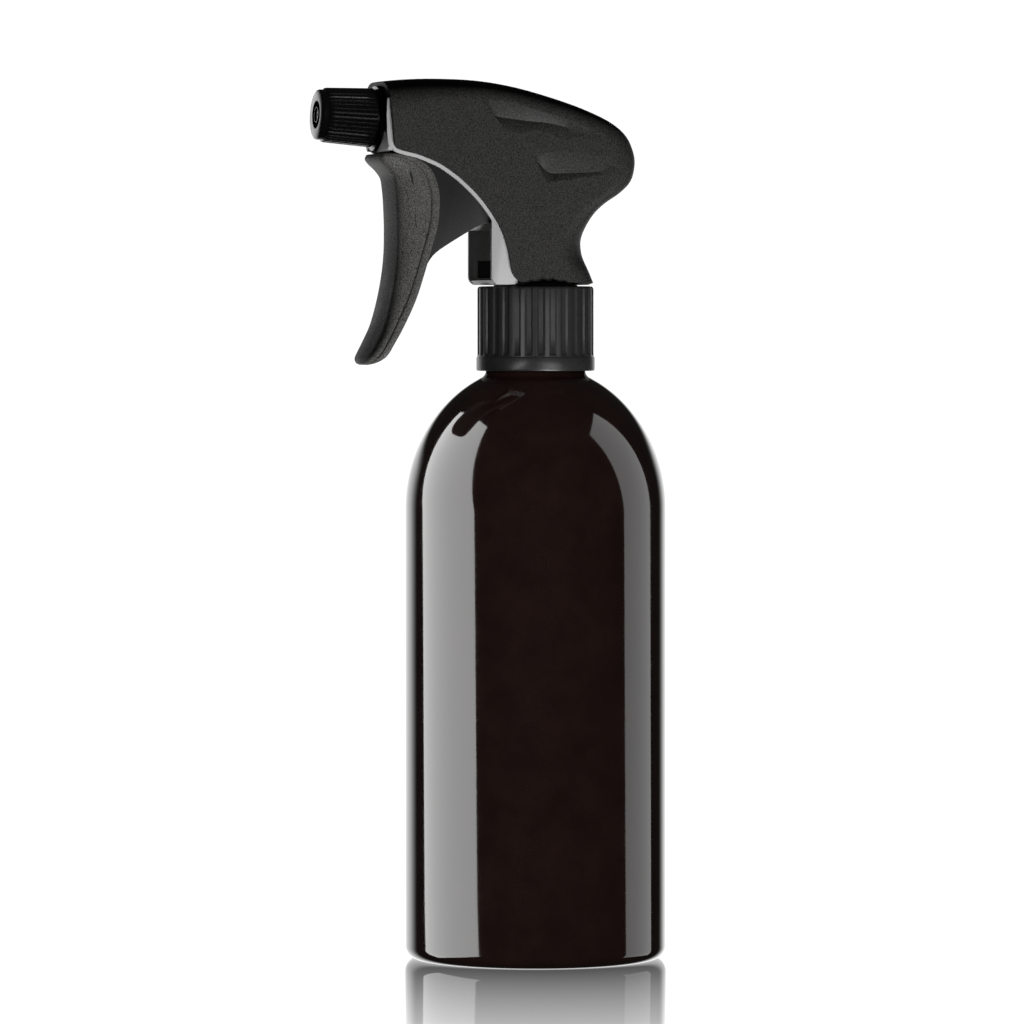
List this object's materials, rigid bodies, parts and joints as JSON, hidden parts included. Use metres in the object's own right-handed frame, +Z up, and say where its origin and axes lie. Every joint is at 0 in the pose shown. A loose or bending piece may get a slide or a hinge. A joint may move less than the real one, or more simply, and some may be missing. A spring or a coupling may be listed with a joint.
{
  "type": "trigger spray bottle",
  "caption": "Round bottle with a dome shoulder and a screw-on trigger sprayer: textured shroud, ribbed collar, turning nozzle, working pump and valves.",
  "frame": {"origin": "centre of the flat base, on the bottle's axis", "axes": "+Z up along the bottle's axis; the nozzle points towards -Y; +X completes the frame"},
  "size_m": [0.07, 0.0962, 0.235],
  "materials": {
    "bottle_plastic": "glossy",
    "closure_black": "semi-gloss",
    "grained_black": "fine grain, matte",
    "body_grey": "satin",
    "nozzle_black": "glossy",
    "natural_plastic": "satin",
    "seal_rubber": "matte",
    "gasket_foam": "matte",
    "spring_steel": "bright",
    "ball_glass": "clear"
  },
  "bodies": {
    "bottle": {"bottle": "bottle_plastic"},
    "head": {"sprayer_body": "body_grey", "shroud": "grained_black", "neck_gasket": "gasket_foam", "tube_retainer": "natural_plastic", "riser_plug": "closure_black", "swirl_plug": "natural_plastic", "dip_tube": "natural_plastic", "strainer": "natural_plastic", "return_spring": "spring_steel", "discharge_spring": "spring_steel"},
    "collar": {"collar": "closure_black"},
    "trigger": {"trigger": "grained_black"},
    "piston": {"piston": "natural_plastic", "piston_seal": "seal_rubber", "vent_seal": "seal_rubber"},
    "nozzle_carrier": {"nozzle_seal": "seal_rubber"},
    "nozzle": {"nozzle_cap": "nozzle_black", "orifice_insert": "nozzle_black"},
    "inlet_ball": {"inlet_ball": "ball_glass"},
    "discharge_ball": {"discharge_ball": "ball_glass"}
  },
  "joints": [
    {"name": "head_lift", "type": "slide", "parent": "bottle", "child": "head", "axis": [0, 0, 1], "range_m": [0, 0.00634]},
    {"name": "collar_turn", "type": "hinge", "parent": "head", "child": "collar", "pos_m": [0, 0, 0.1687], "axis": [0, 0, 1], "range_deg": [0, 540]},
    {"name": "trigger_squeeze", "type": "hinge", "parent": "head", "child": "trigger", "pos_m": [0, -0.032, 0.222], "axis": [1, 0, 0], "range_deg": [0, 20], "stiffness_Nm_per_rad": 0.8, "springref_deg": -17.19},
    {"name": "piston_slide", "type": "slide", "parent": "head", "child": "piston", "axis": [0, 1, 0], "range_m": [0, 0.00706], "deforming": ["return_spring"]},
    {"name": "nozzle_advance", "type": "slide", "parent": "head", "child": "nozzle_carrier", "axis": [0, -0.9988, 0.0488], "range_m": [0, 0.002]},
    {"name": "nozzle_turn", "type": "hinge", "parent": "nozzle_carrier", "child": "nozzle", "pos_m": [0, -0.0436, 0.22445], "axis": [0, -0.9988, 0.0488], "range_deg": [0, 360]},
    {"name": "inlet_ball_lift", "type": "slide", "parent": "head", "child": "inlet_ball", "axis": [0, 0, 1], "range_m": [0, 0.0012]},
    {"name": "discharge_ball_lift", "type": "slide", "parent": "head", "child": "discharge_ball", "axis": [0, 0, 1], "range_m": [0, 0.001], "deforming": ["discharge_spring"]}
  ],
  "couplings": [
    {"joint": "collar_turn", "follows": "head_lift", "rad_per_m": 1485.4},
    {"joint": "piston_slide", "follows": "trigger_squeeze", "m_per_rad": 0.020206},
    {"joint": "nozzle_advance", "follows": "nozzle_turn", "m_per_rad": 0.00031831}
  ]
}
